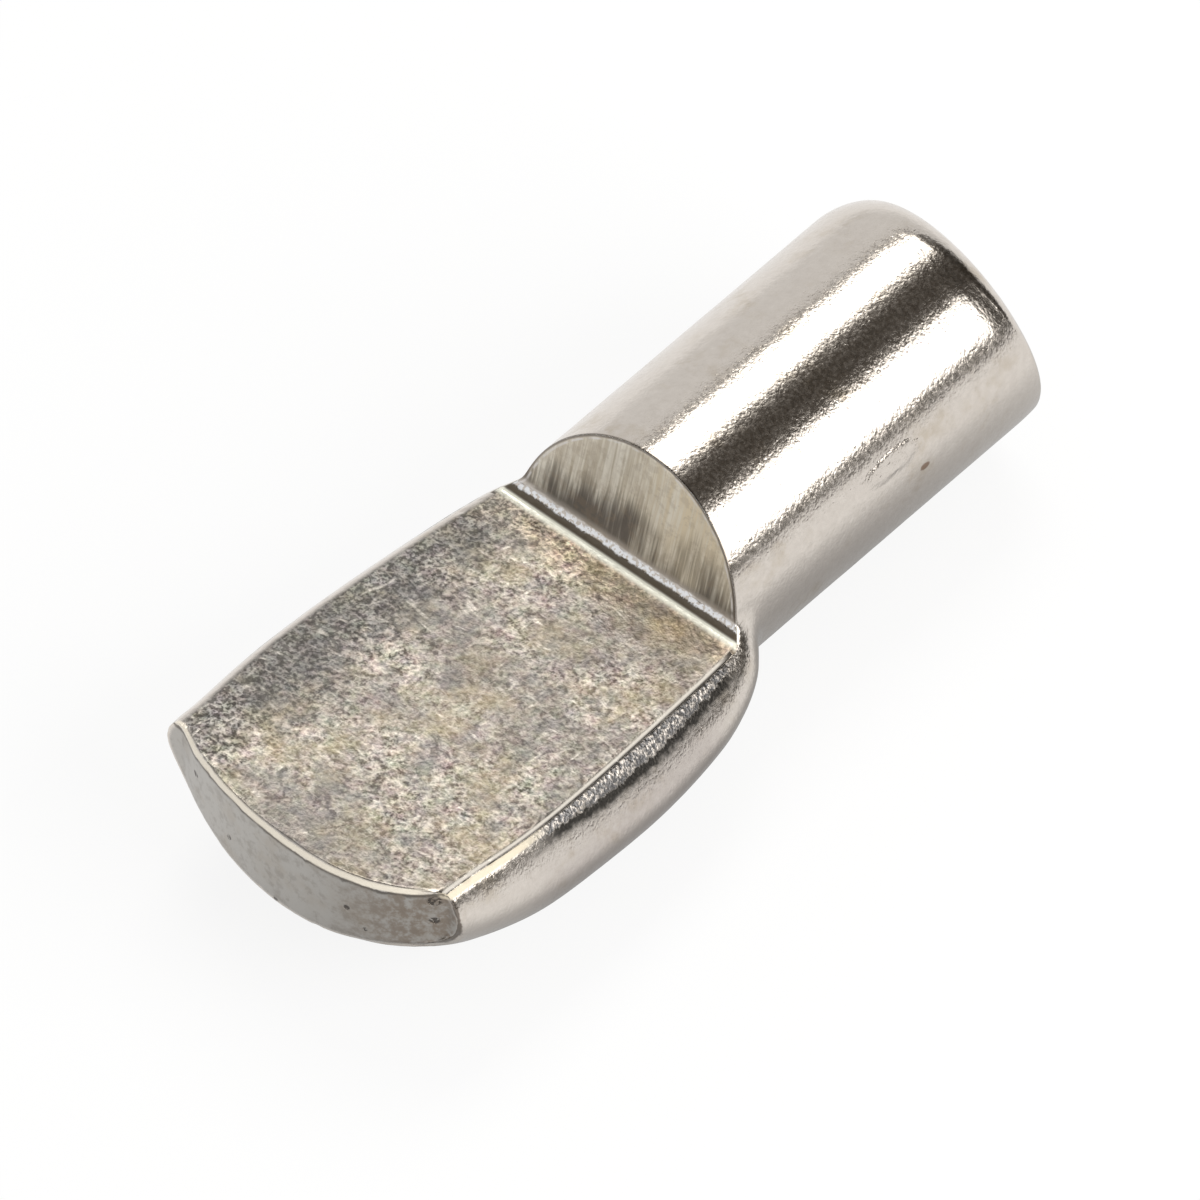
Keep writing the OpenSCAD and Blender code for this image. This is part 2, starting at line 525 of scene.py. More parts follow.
def make_form():
    """Points, faces and marks of the whole piece, before its surface relief."""
    build = Builder()
    rings, arc, pin = skin_outside(build)
    wall = skin_wall(build, rings[-1][:ACROSS + 1], arc)
    tip, tip_low = skin_tip(build, rings[0])
    points = np.vstack(build.points)
    gap = edge_gaps(points, rings, arc, tip_low)
    points = relax(points, build.faces, softness(points, gap), SOFTENING_ROUNDS)
    points[:, 1] -= SETBACK
    marks = {"edge_gap": np.minimum.reduce(list(gap.values())), "arc_gap": gap["arc"],
             "tip_gap": np.minimum(gap["tip_top"], gap["tip_low"]), "side_gap": gap["side"],
             "bevel_gap": gap["tip_top"]}
    marks.update(kind_marks(len(points), rings, wall, tip, pin))
    on_top = np.maximum(marks["flat"], marks["wall"]) > 0
    marks["bend"] = fillet_bend(points, on_top)
    return points, build.faces, marks


def add_object(name, data):
    """Object of a mesh, a lamp or a camera, linked into the scene."""
    made = bpy.data.objects.new(name, data)
    bpy.context.scene.collection.objects.link(made)
    return made


def make_mesh(name, points, faces, marks):
    """Object of the points and faces, whose marks become named values of its mesh."""
    mesh = bpy.data.meshes.new(name)
    mesh.from_pydata([tuple(p) for p in points * MM], [], faces)
    for mark, values in marks.items():
        layer = mesh.attributes.new(mark, "FLOAT", "POINT")
        layer.data.foreach_set("value", values.astype(np.float32))
    mesh.update()
    mesh.shade_smooth()
    return add_object(name, mesh)


piece = make_mesh("pressed_support_pin", *make_form())


# -------- node helpers

FLOAT, VECTOR, GEOMETRY = "NodeSocketFloat", "NodeSocketVector", "NodeSocketGeometry"


class Graph:
    """Short ways to add nodes to a tree. Numbers go in as constants, sockets as links.

    The plating's graph also holds the patterns and masks that its steps share.
    """

    def __init__(self, tree):
        self.tree = tree

    def put(self, socket, value):
        """Links a socket to an input, or sets the input's constant."""
        if isinstance(value, bpy.types.NodeSocket):
            self.tree.links.new(value, socket)
        else:
            socket.default_value = value

    def node(self, kind, settings=None, **inputs):
        """Node with its settings, and with inputs by name, where _ stands for a space."""
        made = self.tree.nodes.new(kind)
        for name, value in (settings or {}).items():
            setattr(made, name, value)
        for name, value in inputs.items():
            self.put(made.inputs[name.replace("_", " ")], value)
        return made

    def filled(self, kind, settings, values):
        """Node whose inputs are filled from the first one on."""
        made = self.node(kind, settings)
        for socket, value in zip(made.inputs, values):
            self.put(socket, value)
        return made

    def math(self, operation, *values):
        return self.filled("ShaderNodeMath", {"operation": operation}, values).outputs[0]

    def vector(self, operation, *values, scale=None):
        made = self.filled("ShaderNodeVectorMath", {"operation": operation}, values)
        if scale is not None:
            self.put(made.inputs["Scale"], scale)
        return made.outputs[0]

    def span(self, operation, *values):
        """Length of a vector, or distance between two."""
        return self.filled("ShaderNodeVectorMath", {"operation": operation}, values).outputs[1]

    def noise(self, vector, scale, detail=2.0, roughness=0.5, output=0):
        """Noise as a number, or as a colour with output 1."""
        made = self.node("ShaderNodeTexNoise", Vector=vector, Scale=scale, Detail=detail,
                         Roughness=roughness)
        return made.outputs[output]

    def mark(self, name):
        """The mesh's own value of a name."""
        if self.tree.bl_idname == "GeometryNodeTree":
            made = self.node("GeometryNodeInputNamedAttribute", {"data_type": "FLOAT"}, Name=name)
            return made.outputs[0]
        return self.node("ShaderNodeAttribute", {"attribute_name": name}).outputs["Fac"]

    def group(self, tree, **inputs):
        return self.node("ShaderNodeGroup", {"node_tree": tree}, **inputs).outputs

    def ramp(self, value, low, high, to_low=0.0, to_high=1.0):
        """Smooth step of a value between two bounds."""
        return self.filled("ShaderNodeMapRange", {"interpolation_type": "SMOOTHSTEP"},
                           (value, low, high, to_low, to_high)).outputs[0]

    def band(self, value, rise, fall):
        """1 between two smooth steps, which each run from 0 to 1 through their pair."""
        return self.times(self.ramp(value, *rise), self.ramp(value, *fall))

    def blend(self, share, a, b):
        """Number a changed towards b by the share."""
        made = self.node("ShaderNodeMix")
        for i, v in ((0, share), (2, a), (3, b)):
            self.put(made.inputs[i], v)
        return made.outputs[0]

    def tint(self, share, a, b, mode="MIX"):
        """Colour a changed towards b by the share. Tones go in as (red, green, blue)."""
        made = self.node("ShaderNodeMix", {"data_type": "RGBA", "blend_type": mode})
        self.put(made.inputs[0], share)
        for i, v in ((6, a), (7, b)):
            self.put(made.inputs[i], (*v, 1) if isinstance(v, tuple) else v)
        return made.outputs[2]

    def dabs(self, under, *layers):
        """The colour with layers of tone over it, each as (mask, share, tone)."""
        for mask, share, tone in layers:
            under = self.tint(self.times(mask, share), under, tone)
        return under

    def shaders(self, share, a, b):
        """Shader a changed towards b by the share."""
        return self.filled("ShaderNodeMixShader", None, (share, a, b)).outputs[0]

    def total(self, *values):
        return reduce(lambda a, b: self.math("ADD", a, b), values)

    def times(self, *values):
        return reduce(lambda a, b: self.math("MULTIPLY", a, b), values)

    def most(self, *values):
        return reduce(lambda a, b: self.math("MAXIMUM", a, b), values)

    def rest(self, share):
        """What the share leaves of 1."""
        return self.math("SUBTRACT", 1.0, share)


def new_material(name, constants):
    """Material with constants on its main shader, and its graph and that shader."""
    material = bpy.data.materials.new(name)
    material.use_nodes = True
    graph, shader = Graph(material.node_tree), material.node_tree.nodes["Principled BSDF"]
    for label, value in constants.items():
        graph.put(shader.inputs[label], value)
    return material, graph, shader


def new_group(name, kind, inputs, outputs):
    """Node group with named sockets: (name, type, default) going in, (name, type) coming out."""
    tree = bpy.data.node_groups.new(name, kind)
    for label, socket, default in inputs:
        made = tree.interface.new_socket(label, in_out="INPUT", socket_type=socket)
        if default is not None:
            made.default_value = default
    for label, socket in outputs:
        tree.interface.new_socket(label, in_out="OUTPUT", socket_type=socket)
    graph = Graph(tree)
    return graph, graph.node("NodeGroupInput").outputs, graph.node("NodeGroupOutput").inputs


# -------- relief of the surface

# heights and sizes in millimetres, and marks struck per square millimetre
RELIEF = {"Waviness": 0.028, "Stipple": 0.022, "Wall Streaks": 0.02, "Tip Shear": 0.03,
          "Nick Depth": 0.022, "Nick Size": 0.13, "Nicks": 4.0, "Dents": 0.35}
SEED = 4
PER_SQUARE_MM = 1e6


def swing(g, place, scale, detail, height):
    """Noise about its middle value, by a height."""
    return g.times(g.math("SUBTRACT", g.noise(place, scale, detail, 0.55), 0.55), height)


def push(g, amount):
    """Offset along the surface's normal, by an amount in millimetres."""
    normal = g.node("GeometryNodeInputNormal").outputs[0]
    return g.vector("SCALE", normal, scale=g.times(amount, MM))


def uneven_height(g, given):
    """Waves and stipple of the press, streaks on the wall and shear lines on the tip's face."""
    place = g.vector("SCALE", g.node("GeometryNodeInputPosition").outputs[0], scale=1 / MM)
    flat = g.mark("flat")
    wave = g.times(swing(g, place, 0.8, 2.0, given["Waviness"]), g.blend(flat, 0.45, 1.0))
    stipple = g.times(swing(g, place, 4.2, 3.0, given["Stipple"]), g.total(flat, 0.12))
    drawn = g.vector("MULTIPLY", place, (5.5, 0.4, 0.45))
    streaks = g.times(swing(g, drawn, 1.0, 3.0, given["Wall Streaks"]), g.mark("wall"))
    drawn = g.vector("MULTIPLY", place, (2.6, 2.6, 0.7))
    shear = g.times(swing(g, drawn, 1.0, 3.0, given["Tip Shear"]), g.mark("tip"))
    return g.total(wave, stipple, streaks, shear)


def struck(g, geometry, seed, density, size, depth):
    """Pushes in a scatter of round-bottomed marks of unequal size and depth."""
    points = g.node("GeometryNodeDistributePointsOnFaces", Mesh=geometry, Density=density,
                    Seed=seed)
    nearest = g.node("GeometryNodeProximity", {"target_element": "POINTS"})
    g.put(nearest.inputs[0], points.outputs["Points"])
    spot = g.vector("SCALE", nearest.outputs["Position"], scale=1 / MM)
    random = g.noise(spot, 7.3, 0.0)
    reach = g.times(g.ramp(random, 0.3, 0.75, 0.35, 1.0), size)
    away = g.math("DIVIDE", g.times(nearest.outputs["Distance"], 1 / MM), reach)
    bowl = g.ramp(away, 0.15, 1.0, 1.0, 0.0)
    deep = g.times(bowl, depth, -1.0, g.ramp(random, 0.3, 0.75, 0.4, 1.0))
    return g.node("GeometryNodeSetPosition", Geometry=geometry, Offset=push(g, deep)).outputs[0]


def relief_tree():
    """Unevenness left by the press and the shears, and nicks struck along the edges."""
    g, given, result = new_group("struck_surface", "GeometryNodeTree", [
        ("Geometry", GEOMETRY, None), *((name, FLOAT, 0.0) for name in RELIEF),
        ("Seed", "NodeSocketInt", SEED), ("Material", "NodeSocketMaterial", None)],
        [("Geometry", GEOMETRY)])
    uneven = g.node("GeometryNodeSetPosition", Geometry=given["Geometry"],
                    Offset=push(g, uneven_height(g, given)))
    edge = g.ramp(g.mark("edge_gap"), 0.03, 0.12, 1.0, 0.0)
    nicks = g.times(edge, g.rest(g.mark("pin")), given["Nicks"], PER_SQUARE_MM)
    nicked = struck(g, uneven.outputs[0], given["Seed"], nicks, given["Nick Size"],
                    given["Nick Depth"])
    faces = g.total(g.times(g.mark("tip"), 4.0), g.times(g.mark("flat"), 0.7), 0.03)
    dented = struck(g, nicked, g.total(given["Seed"], 5),
                    g.times(faces, given["Dents"], PER_SQUARE_MM),
                    g.times(given["Nick Size"], 1.1), g.times(given["Nick Depth"], 0.45))
    real = g.node("GeometryNodeRealizeInstances", Geometry=dented)
    coated = g.node("GeometryNodeSetMaterial", Geometry=real.outputs[0],
                    Material=given["Material"])
    g.put(result["Geometry"], coated.outputs[0])
    return g.tree


def apply_relief(target, tree, values):
    """Runs the tree on the piece with the named inputs and keeps the outcome as a plain mesh."""
    modifier = target.modifiers.new("relief", "NODES")
    modifier.node_group = tree
    sockets = {i.name: i.identifier for i in tree.interface.items_tree if i.in_out == "INPUT"}
    for name, value in values.items():
        modifier[sockets[name]] = value
    bpy.context.view_layer.update()
    graph = bpy.context.evaluated_depsgraph_get()
    mesh = bpy.data.meshes.new_from_object(target.evaluated_get(graph), depsgraph=graph)
    target.modifiers.remove(modifier)
    target.data = mesh


def keep_inside(mesh, low, high):
    """Pares off the few microns of relief that stand outside the box."""
    numbers = np.empty(3 * len(mesh.vertices))
    mesh.vertices.foreach_get("co", numbers)
    points = np.clip(numbers.reshape(-1, 3), low * MM, high * MM)
    mesh.vertices.foreach_set("co", points.ravel())
    mesh.update()


# -------- patterns of the plating

def pattern(name, outputs, *inputs):
    """Node group that makes numbers from a Position in millimetres and from other inputs."""
    return new_group(name, "ShaderNodeTree", [("Position", VECTOR, None), *inputs],
                     [(label, FLOAT) for label in outputs])


def grain_group():
    """Fine orange-peel grain that nickel plating has everywhere."""
    g, given, result = pattern("plate_grain", ("Height", "Speckle"))
    fine = g.noise(given["Position"], 14.0, 1.0, 0.6)
    broad = g.noise(given["Position"], 2.6, 1.0, 0.5)
    moved = g.vector("ADD", given["Position"], (5.0, 1.0, 3.0))
    specks = g.times(g.ramp(g.noise(moved, 12.0, 0.0), 0.70, 0.82), 0.22)
    g.put(result["Height"], g.total(fine, broad, specks))
    g.put(result["Speckle"], g.ramp(fine, 0.35, 0.68))
    return g.tree


def scratch_group():
    """Short, slightly curved scratches in three directions, given in degrees about Z."""
    g, given, result = pattern("short_scratches", ("Line",))
    bend = g.noise(given["Position"], 1.6, 1.0, output=1)
    bent = g.vector("ADD", given["Position"], g.vector("SCALE", bend, scale=0.2))
    lines = []
    for k, angle in enumerate((-14, 6, 95)):
        turned = g.node("ShaderNodeVectorRotate", {"rotation_type": "Z_AXIS"}, Vector=bent,
                        Angle=radians(angle))
        drawn = g.vector("MULTIPLY", turned.outputs[0], (2.2, 10.0, 2.6))
        moved = g.vector("ADD", drawn, (11.0 * k, 5.0 * k, 2.0))
        lines.append(g.ramp(g.noise(moved, 1.0, 0.5, 0.4), 0.66, 0.86))
    g.put(result["Line"], g.most(*lines))
    return g.tree


def streak_group():
    """Drawn lines of a sheared face, along the direction whose stretch is small."""
    g, given, result = pattern("shear_streaks", ("Height", "Shade"),
                               ("Stretch", VECTOR, (9, 9, 0.6)))
    drawn = g.vector("MULTIPLY", given["Position"], given["Stretch"])
    wide = g.noise(drawn, 0.45, 1.5, 0.55)
    fine = g.noise(drawn, 1.9, 1.5, 0.7)
    g.put(result["Height"], g.total(wide, g.times(fine, 0.45)))
    g.put(result["Shade"], g.ramp(g.total(g.times(wide, 0.42), g.times(fine, 0.58)), 0.36, 0.66))
    return g.tree


def tarnish_group():
    """Masks of brownish stains, of bluish grey stains and of broad clean patches."""
    masks = {"Brown": ((7.0, 3.0, 1.0), 0.9, 3.0, 0.62, 0.46, 0.72),
             "Grey": ((-4.0, 9.0, 5.0), 1.3, 3.0, 0.66, 0.46, 0.70),
             "Patch": ((2.0, -6.0, 3.0), 0.42, 2.0, 0.6, 0.40, 0.62)}
    g, given, result = pattern("tarnish", masks)
    for name, (moved, scale, detail, roughness, clear, full) in masks.items():
        place = g.vector("ADD", given["Position"], moved)
        g.put(result[name], g.ramp(g.noise(place, scale, detail, roughness), clear, full))
    return g.tree


def round_mark_group():
    """A small round mark at a centre: its disc, and the ring around it."""
    g, given, result = pattern("round_mark", ("Disc", "Ring"), ("Centre", VECTOR, (0, 0, 0)),
                               ("Radius", FLOAT, 0.1), ("Ragged", FLOAT, 0.5))
    away = g.span("DISTANCE", given["Position"], given["Centre"])
    share = g.math("DIVIDE", away, given["Radius"])
    share = g.total(share, g.times(given["Ragged"], 0.8), -0.4)
    g.put(result["Disc"], g.ramp(share, 0.6, 1.0, 1.0, 0.0))
    g.put(result["Ring"], g.band(share, (0.55, 0.85), (1.3, 1.0)))
    return g.tree


# -------- plated steel

# base colours of the plating, of the stains and wear on it, of darker bands, and of painted
# highlights and painted shade
PLATE_DEEP, PLATE_PALE = (0.61, 0.555, 0.50), (0.74, 0.685, 0.625)
PLATE_STAIN, BROWN_SPOT = (0.47, 0.39, 0.28), (0.20, 0.10, 0.05)
LOW_SIDE_PAINTED_SHADE = (0.80, 0.79, 0.80)
FLAT_DEEP, FLAT_PALE = (0.125, 0.105, 0.088), (0.79, 0.725, 0.64)
FLAT_DULL, FLAT_BROWN, FLAT_GREY = (0.20, 0.18, 0.165), (0.44, 0.37, 0.24), (0.23, 0.225, 0.23)
FLAT_LEFT_PAINTED_SHADE, LEFT_SPECK = (0.66, 0.685, 0.715), (0.075, 0.07, 0.065)
FOOT_PAINTED_LIGHT, SCRATCHED, CRATER_GREY = (1.55, 1.46, 1.30), (0.74, 0.69, 0.62), (0.25, 0.27, 0.23)
WALL_DEEP, WALL_PALE = (0.68, 0.60, 0.47), (1.0, 0.94, 0.81)
WALL_STAIN, WALL_YELLOW_HIGHLIGHT = (0.50, 0.44, 0.36), (1.0, 0.86, 0.62)
WALL_FOOT_DARK, WALL_MOTTLE = (0.115, 0.10, 0.09), (0.36, 0.27, 0.18)
TIP_PALE, TIP_DEEP = (0.46, 0.44, 0.41), (0.40, 0.355, 0.30)
TIP_MOTTLE, TIP_BROWN = (0.17, 0.14, 0.11), (0.24, 0.18, 0.13)
FACET_DARK, SQUEEZED_DARK = (0.13, 0.13, 0.135), (0.03, 0.028, 0.025)
RIM_PAINTED_HIGHLIGHT, RIM_PAINTED_SHADE = (0.88, 0.83, 0.74), (0.10, 0.09, 0.08)
TIP_FACET_PAINTED_HIGHLIGHT, CREASE_PAINTED_SHADE = (0.78, 0.69, 0.53), (0.10, 0.075, 0.055)
BEVEL_PAINTED_HIGHLIGHT, BEVEL_DARK_BAND = (0.95, 0.87, 0.73), (0.08, 0.065, 0.05)
ARC_PAINTED_HIGHLIGHT, ARC_PAINTED_SHADE = (0.95, 0.91, 0.90), (0.12, 0.095, 0.075)
FILLET_PAINTED_HIGHLIGHT, FILLET_PAINTED_DARK_REFLECTION = (1.0, 0.99, 0.86), (0.075, 0.055, 0.030)
FILLET_PAINTED_GLINT, PIT_DARK = (0.97, 0.98, 1.0), (0.05, 0.04, 0.035)

# round marks as (x, y, z, radius) in millimetres
CRATER = (0.8, -6.99, 0.68, 0.16)
SPOT = (2.48, 4.2, 0.32, 0.08)
BLISTER = (2.35, 3.485, 0.88, 0.27)
TIP_PITS = [(-2.3, -9.39, 0.24, 0.08), (-1.25, -9.72, -0.31, 0.06), (-0.05, -9.85, -0.9, 0.06),
            (1.51, -9.66, 0.03, 0.07), (1.84, -9.56, -0.38, 0.05), (2.87, -9.12, 0.09, 0.09),
            (2.87, -9.08, 0.60, 0.13)]

# steps over which the worn facet and the lines of painted highlight and shade on the blade's side
# set in, towards its right and behind its foot
RIGHT_HALF = (0.0, 1.0)
EDGE_LINES_START = (-1.2, -1.6)


def add_patterns(g):
    """Positions in millimetres, the mesh's own marks, and the noises that all faces share."""
    g.place = g.vector("SCALE", g.node("ShaderNodeTexCoord").outputs["Object"], scale=1 / MM)
    part = g.node("ShaderNodeSeparateXYZ", Vector=g.place).outputs
    g.x, g.y, g.z = part["X"], part["Y"], part["Z"]
    for name in ("flat", "wall", "tip", "bend", "edge_gap", "side_gap", "arc_gap", "tip_gap",
                 "bevel_gap"):
        setattr(g, name, g.mark(name))
    g.crumple = g.noise(g.vector("ADD", g.place, (3.0, 8.0, 1.0)), 4.2, 3.0, 0.72)
    g.stipple = g.noise(g.place, 13.0, 1.6, 0.6)
    g.cloud = g.ramp(g.noise(g.place, 1.9, 3.0, 0.65), 0.40, 0.66)
    g.grain = g.group(grain_group(), Position=g.place)
    g.scratch = g.group(scratch_group(), Position=g.place)["Line"]
    g.stain = g.group(tarnish_group(), Position=g.place)
    # the wall is drawn along its height, the tip's face along a shallower stretch
    stretch = g.node("ShaderNodeMix", {"data_type": "VECTOR"})
    for socket, value in ((0, g.tip), (4, (10.0, 0.6, 0.6)), (5, (5.0, 5.0, 1.2))):
        g.put(stretch.inputs[socket], value)
    g.streak = g.group(streak_group(), Position=g.place, Stretch=stretch.outputs[1])


def add_face_masks(g):
    """The matte flat with the start of its fillet, the dull wall and the dull tip's face."""
    inside = g.times(g.flat, g.ramp(g.edge_gap, 0.02, 0.13), g.ramp(g.y, -1.10, -1.14))
    g.matte = g.most(inside, g.band(g.bend, (0.0, 0.6), (20.0, 14.0)))
    g.dull_wall = g.times(g.wall, g.ramp(g.arc_gap, 0.0, 0.06), g.ramp(g.z, 0.42, 0.60))
    g.dull_tip = g.times(g.tip, g.ramp(g.tip_gap, 0.02, 0.12))
    g.smooth = g.rest(g.most(g.matte, g.dull_wall, g.dull_tip))


def add_side_masks(g):
    """The side just outside the flat's edge, where the press squeezed metal out.

    A worn facet comes first and then a rough dark strip, deepest halfway along the blade.
    """
    right = g.ramp(g.x, *RIGHT_HALF)
    off_flat = g.ramp(g.flat, 0.6, 0.4)
    halfway = g.band(g.y, (-1.3, -3.6), (-6.6, -4.6))
    ragged = g.total(g.side_gap, g.times(g.noise(g.place, 7.0, 3.0, 0.6), 0.26), -0.13,
                     g.times(halfway, -0.16))
    g.squeezed = g.times(g.band(ragged, (0.16, 0.22), (0.50, 0.30)), off_flat,
                         g.band(g.y, (-1.0, -1.7), (-7.4, -6.2)))
    g.facet = g.times(g.ramp(ragged, 0.24, 0.16), off_flat,
                      g.band(g.y, (-1.0, -1.6), (-7.9, -6.6)), right)
    g.rough_side = g.most(g.squeezed, g.facet)
    # painted cream highlight on the side's facet by the tip
    g.tip_facet = g.times(g.ramp(g.side_gap, 0.19, 0.12), off_flat,
                          g.ramp(g.y, -6.3, -7.3), right)
    # painted highlight along the flat's edge, and painted shade just outside it
    g.rim = g.times(g.band(g.side_gap, (0.0, 0.03), (0.095, 0.06)),
                    g.ramp(g.flat, 0.6, 0.9), g.ramp(g.y, *EDGE_LINES_START), right)
    g.rim_shade = g.times(g.ramp(g.side_gap, 0.045, 0.015),
                          g.band(g.y, EDGE_LINES_START, (-8.6, -7.6)), right)


def add_line_masks(g):
    """Lines along the wall's fillet and arc, the tip's upper bevel and its right corner."""
    # across the fillet, in degrees of its bend: a painted cream highlight, a painted dark
    # reflection, and a painted bright highlight
    g.cream = g.band(g.bend, (3.0, 17.0), (29.0, 24.0))
    g.hollow = g.band(g.bend, (22.0, 30.0), (46.0, 42.0))
    torn = g.total(g.bend, g.times(g.crumple, 14.0), -7.0)
    g.burnished = g.band(torn, (40.0, 45.0), (60.0, 54.0))
    # painted shade: a dark line along the wall's arc; painted highlight: a pale line just inside
    # it
    g.arc_line = g.times(g.ramp(g.arc_gap, 0.055, 0.02), g.ramp(g.z, 0.3, 0.6))
    g.arc_worn = g.times(g.wall, g.band(g.arc_gap, (0.04, 0.06), (0.105, 0.075)),
                         g.ramp(g.noise(g.place, 3.5, 2.0), 0.38, 0.60))
    # painted cream highlight on the tip's worn upper bevel
    g.bevel = g.times(g.ramp(g.bevel_gap, 0.085, 0.04), g.ramp(g.x, 2.9, 2.6))
    # a darker band on the tip's face just below the bevel
    below = g.total(g.bevel_gap, g.times(g.crumple, 0.22), -0.11)
    g.under_bevel = g.times(g.tip, g.band(below, (0.03, 0.06), (0.17, 0.09)))
    # painted shade along the crease at the tip's right corner
    corner = g.total(g.tip_gap, g.times(g.crumple, 0.16), -0.08)
    g.crease = g.times(g.ramp(corner, 0.07, 0.03), g.ramp(g.x, 2.45, 2.75),
                       g.ramp(g.z, 0.75, 0.60))


def add_round_marks(g):
    """A crater in the flat, pits in the tip's face, and a spot and a blister on the pin."""
    tree = round_mark_group()

    def marks(places, squash):
        """Marks drawn out along the axes whose squash is small."""
        position = g.vector("MULTIPLY", g.place, squash)
        return [g.group(tree, Position=position, Radius=radius, Ragged=g.crumple,
                        Centre=tuple(c * s for c, s in zip(centre, squash)))
                for *centre, radius in places]

    g.crater = marks([CRATER], (1.0, 1.0, 1.0))[0]
    g.spot = marks([SPOT], (1.0, 0.6, 1.0))[0]["Disc"]
    g.blister = marks([BLISTER], (1.0, 0.33, 1.0))[0]["Disc"]
    pits = g.most(*[pit["Disc"] for pit in marks(TIP_PITS, (1.0, 0.15, 1.0))])
    g.pit = g.times(pits, g.ramp(g.y, -8.6, -8.8), g.ramp(g.stipple, 0.62, 0.46))


def plate_relief(g):
    """Normal of the fine relief, whose heights are in millimetres."""
    grain = g.times(g.grain["Height"], g.blend(g.smooth, 0.0020, 0.0044))
    flat = g.times(g.matte, g.total(g.times(g.stipple, 0.012), g.times(g.crumple, 0.010),
                                    g.times(g.crater["Ring"], 0.005)))
    streaks = g.times(g.total(g.times(g.dull_wall, 0.008), g.times(g.dull_tip, 0.006)),
                      g.streak["Height"])
    side = g.times(g.rough_side, g.stipple, 0.014)
    torn = g.times(g.crumple, g.total(g.times(g.burnished, 0.022), g.times(g.blister, 0.030)))
    height = g.total(grain, flat, streaks, side, torn, g.times(g.pit, -0.03))
    return g.node("ShaderNodeBump", Strength=1.0, Distance=MM, Height=height).outputs[0]


def bare_tone(g):
    """Bright nickel with a few brown stains, and painted shade low on the blade's side."""
    tone = g.tint(g.noise(g.place, 6.0, 2.0, 0.7), PLATE_DEEP, PLATE_PALE)
    tone = g.dabs(tone, (g.times(g.stain["Brown"], g.cloud), 0.5, PLATE_STAIN),
                  (g.spot, 0.75, BROWN_SPOT))
    # painted shade: the blade's side darkens towards its underside
    low_side_shade = g.times(g.band(g.y, (-1.6, -2.8), (-7.8, -6.4)), g.ramp(g.z, 0.3, -0.4))
    return g.tint(g.times(low_side_shade, 0.8), tone, LOW_SIDE_PAINTED_SHADE, "MULTIPLY")


def flat_tone(g):
    """Stippled light and dark, with broad brown and grey patches, painted shade along the left
    edge and painted light near the foot.
    """
    mottle = g.total(g.times(g.ramp(g.stipple, 0.36, 0.66), 0.52),
                     g.times(g.ramp(g.crumple, 0.36, 0.64), 0.5))
    tone = g.tint(mottle, FLAT_DEEP, FLAT_PALE)
    tone = g.tint(0.30, tone, g.noise(g.place, 3.4, 2.0, 0.7, output=1), "SOFT_LIGHT")
    tone = g.dabs(tone, (g.rest(g.stain["Patch"]), 0.50, FLAT_DULL),
                  (g.stain["Brown"], 0.50, FLAT_BROWN), (g.stain["Grey"], 0.50, FLAT_GREY))
    # painted shade: the flat darkens towards its left edge, with dark specks in it
    shaded_left_edge = g.ramp(g.total(g.x, g.times(g.crumple, 2.4)), 0.0, -1.4)
    tone = g.tint(shaded_left_edge, tone, FLAT_LEFT_PAINTED_SHADE, "MULTIPLY")
    specks = g.times(shaded_left_edge, g.ramp(g.stipple, 0.56, 0.42))
    tone = g.dabs(tone, (specks, 0.55, LEFT_SPECK))
    # painted light: the flat is brightened near the wall's foot
    tone = g.tint(g.ramp(g.y, -2.1, -1.3), tone, FOOT_PAINTED_LIGHT, "MULTIPLY")
    return g.dabs(tone, (g.scratch, 0.35, SCRATCHED), (g.crater["Disc"], 0.45, CRATER_GREY))


def wall_tone(g):
    """Drawn light and dark, yellowish with a painted highlight on the right, and darker towards
    the foot.
    """
    shade = g.streak["Shade"]
    broad = g.noise(g.vector("MULTIPLY", g.place, (1.1, 0.6, 0.6)), 1.0, 2.0)
    # darker towards the wall's foot
    low = g.ramp(g.total(g.z, g.times(broad, 2.4), g.times(shade, 0.4)), 2.9, 1.9)
    # yellowish tint with a painted highlight towards the wall's right
    return g.dabs(g.tint(shade, WALL_DEEP, WALL_PALE), (g.cloud, 0.20, WALL_STAIN),
                  (g.ramp(g.x, -0.5, 0.9), g.blend(shade, 0.75, 0.15), WALL_YELLOW_HIGHLIGHT),
                  (low, 0.92, WALL_FOOT_DARK), (g.ramp(g.crumple, 0.48, 0.62), 0.22, WALL_MOTTLE))


def tip_tone(g):
    """Sheared grey, mottled, and browner towards the right corner."""
    tone = g.tint(g.times(g.stain["Grey"], 0.5), TIP_PALE, TIP_DEEP)
    brown = g.times(g.ramp(g.x, 0.8, 2.6), g.ramp(g.crumple, 0.36, 0.56))
    return g.dabs(tone, (g.ramp(g.crumple, 0.48, 0.66), 0.28, TIP_MOTTLE), (brown, 0.6, TIP_BROWN))


